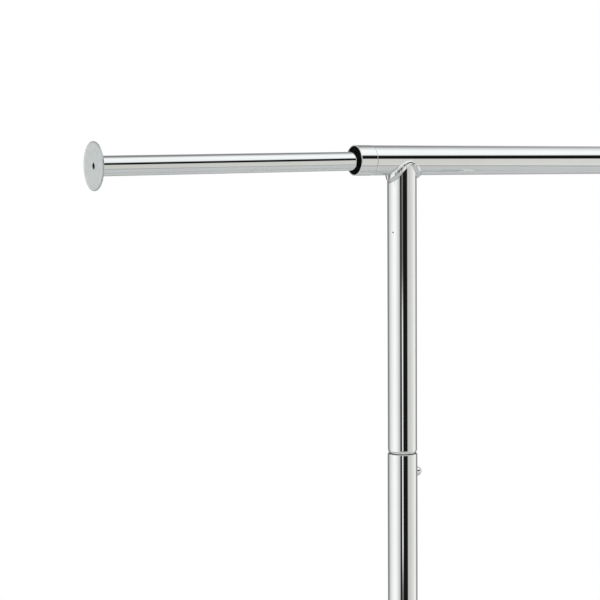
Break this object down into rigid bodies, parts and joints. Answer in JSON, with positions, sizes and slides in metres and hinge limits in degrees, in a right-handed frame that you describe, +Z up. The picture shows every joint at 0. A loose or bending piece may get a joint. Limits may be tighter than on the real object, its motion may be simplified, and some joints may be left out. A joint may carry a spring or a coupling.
{
  "type": "rolling clothes rack",
  "caption": "Chrome tube garment rack on swivel casters, with a hang bar lengthened at each end by a pull-out rod that ends in a flat disc.",
  "frame": {"origin": "on the floor, under the middle of the hang bar", "axes": "+X along the hang bar, +Y across the depth of the base, +Z up; the front is at -Y"},
  "size_m": [1.915, 0.566, 1.6587],
  "materials": {
    "chrome_tube": "bright chrome plate on drawn steel tube",
    "button_chrome": "bright chrome plate",
    "satin_disc": "satin plated steel",
    "weld_bead": "chrome plate over a rippled weld",
    "black_plastic": "black moulded plastic",
    "spring_steel": "blued spring strip",
    "zinc_steel": "bright zinc plate",
    "wheel_core": "dark moulded plastic",
    "wheel_tread": "dark grey rubber",
    "brake_pedal": "black moulded plastic"
  },
  "bodies": {
    "frame": {"hang_bar": "chrome_tube", "left_ferrule": "chrome_tube", "right_ferrule": "chrome_tube", "left_bushing": "black_plastic", "right_bushing": "black_plastic", "left_upper_upright": "chrome_tube", "right_upper_upright": "chrome_tube", "left_bar_weld": "weld_bead", "right_bar_weld": "weld_bead", "left_lower_upright": "chrome_tube", "right_lower_upright": "chrome_tube", "left_upper_spring": "spring_steel", "right_upper_spring": "spring_steel", "left_lower_spring": "spring_steel", "right_lower_spring": "spring_steel", "left_base_post": "chrome_tube", "right_base_post": "chrome_tube", "left_base_weld": "weld_bead", "right_base_weld": "weld_bead", "left_foot_tube": "chrome_tube", "right_foot_tube": "chrome_tube", "left_foot_caps": "black_plastic", "right_foot_caps": "black_plastic", "front_base_rail": "chrome_tube", "rear_base_rail": "chrome_tube", "rail_inserts": "zinc_steel", "rail_bolts": "zinc_steel", "caster_nuts": "zinc_steel", "front_left_stem": "zinc_steel", "front_right_stem": "zinc_steel", "rear_left_stem": "zinc_steel", "rear_right_stem": "zinc_steel"},
    "left_extension": {"left_rod": "chrome_tube", "left_end_disc": "satin_disc", "left_stop_ring": "black_plastic"},
    "left_upper_push_button": {"left_upper_button": "button_chrome"},
    "left_lower_push_button": {"left_lower_button": "button_chrome"},
    "right_extension": {"right_rod": "chrome_tube", "right_end_disc": "satin_disc", "right_stop_ring": "black_plastic"},
    "right_upper_push_button": {"right_upper_button": "button_chrome"},
    "right_lower_push_button": {"right_lower_button": "button_chrome"},
    "front_left_swivel": {"front_left_fork": "zinc_steel", "front_left_axle": "zinc_steel"},
    "front_left_wheel": {"front_left_hub": "wheel_core", "front_left_tyre": "wheel_tread"},
    "front_right_swivel": {"front_right_fork": "zinc_steel", "front_right_axle": "zinc_steel"},
    "front_right_wheel": {"front_right_hub": "wheel_core", "front_right_tyre": "wheel_tread"},
    "rear_left_swivel": {"rear_left_fork": "zinc_steel", "rear_left_axle": "zinc_steel"},
    "rear_left_wheel": {"rear_left_hub": "wheel_core", "rear_left_tyre": "wheel_tread"},
    "rear_right_swivel": {"rear_right_fork": "zinc_steel", "rear_right_axle": "zinc_steel"},
    "rear_right_wheel": {"rear_right_hub": "wheel_core", "rear_right_tyre": "wheel_tread"},
    "front_left_brake_pedal": {"front_left_brake": "brake_pedal"},
    "front_right_brake_pedal": {"front_right_brake": "brake_pedal"}
  },
  "joints": [
    {"name": "left_extension_slide", "type": "slide", "parent": "frame", "child": "left_extension", "axis": [0.9999, 0, 0.015], "range_m": [0, 0.2944]},
    {"name": "left_upper_button_press", "type": "slide", "parent": "frame", "child": "left_upper_push_button", "axis": [-1, 0, 0], "range_m": [0, 0.0094], "stiffness_N_per_m": 1500, "springref_m": -0.002, "deforming": ["left_upper_spring"]},
    {"name": "left_lower_button_press", "type": "slide", "parent": "frame", "child": "left_lower_push_button", "axis": [-1, 0, 0], "range_m": [0, 0.0094], "stiffness_N_per_m": 1500, "springref_m": -0.002, "deforming": ["left_lower_spring"]},
    {"name": "right_extension_slide", "type": "slide", "parent": "frame", "child": "right_extension", "axis": [-0.9999, 0, 0.015], "range_m": [0, 0.2944]},
    {"name": "right_upper_button_press", "type": "slide", "parent": "frame", "child": "right_upper_push_button", "axis": [1, 0, 0], "range_m": [0, 0.0094], "stiffness_N_per_m": 1500, "springref_m": -0.002, "deforming": ["right_upper_spring"]},
    {"name": "right_lower_button_press", "type": "slide", "parent": "frame", "child": "right_lower_push_button", "axis": [1, 0, 0], "range_m": [0, 0.0094], "stiffness_N_per_m": 1500, "springref_m": -0.002, "deforming": ["right_lower_spring"]},
    {"name": "front_left_swivel", "type": "hinge", "parent": "frame", "child": "front_left_swivel", "pos_m": [-0.6, -0.215, 0.075], "axis": [0, 0, 1], "continuous": true},
    {"name": "front_left_wheel_spin", "type": "hinge", "parent": "front_left_swivel", "child": "front_left_wheel", "pos_m": [-0.582, -0.215, 0.032], "axis": [0, 1, 0], "continuous": true},
    {"name": "front_left_brake_press", "type": "hinge", "parent": "front_left_swivel", "child": "front_left_brake_pedal", "pos_m": [-0.566, -0.215, 0.06536], "axis": [0, 1, 0], "range_deg": [0, 14]},
    {"name": "front_right_swivel", "type": "hinge", "parent": "frame", "child": "front_right_swivel", "pos_m": [0.6, -0.215, 0.075], "axis": [0, 0, 1], "continuous": true},
    {"name": "front_right_wheel_spin", "type": "hinge", "parent": "front_right_swivel", "child": "front_right_wheel", "pos_m": [0.618, -0.215, 0.032], "axis": [0, 1, 0], "continuous": true},
    {"name": "front_right_brake_press", "type": "hinge", "parent": "front_right_swivel", "child": "front_right_brake_pedal", "pos_m": [0.634, -0.215, 0.06536], "axis": [0, 1, 0], "range_deg": [0, 14]},
    {"name": "rear_left_swivel", "type": "hinge", "parent": "frame", "child": "rear_left_swivel", "pos_m": [-0.6, 0.215, 0.075], "axis": [0, 0, 1], "continuous": true},
    {"name": "rear_left_wheel_spin", "type": "hinge", "parent": "rear_left_swivel", "child": "rear_left_wheel", "pos_m": [-0.582, 0.215, 0.032], "axis": [0, 1, 0], "continuous": true},
    {"name": "rear_right_swivel", "type": "hinge", "parent": "frame", "child": "rear_right_swivel", "pos_m": [0.6, 0.215, 0.075], "axis": [0, 0, 1], "continuous": true},
    {"name": "rear_right_wheel_spin", "type": "hinge", "parent": "rear_right_swivel", "child": "rear_right_wheel", "pos_m": [0.618, 0.215, 0.032], "axis": [0, 1, 0], "continuous": true}
  ]
}
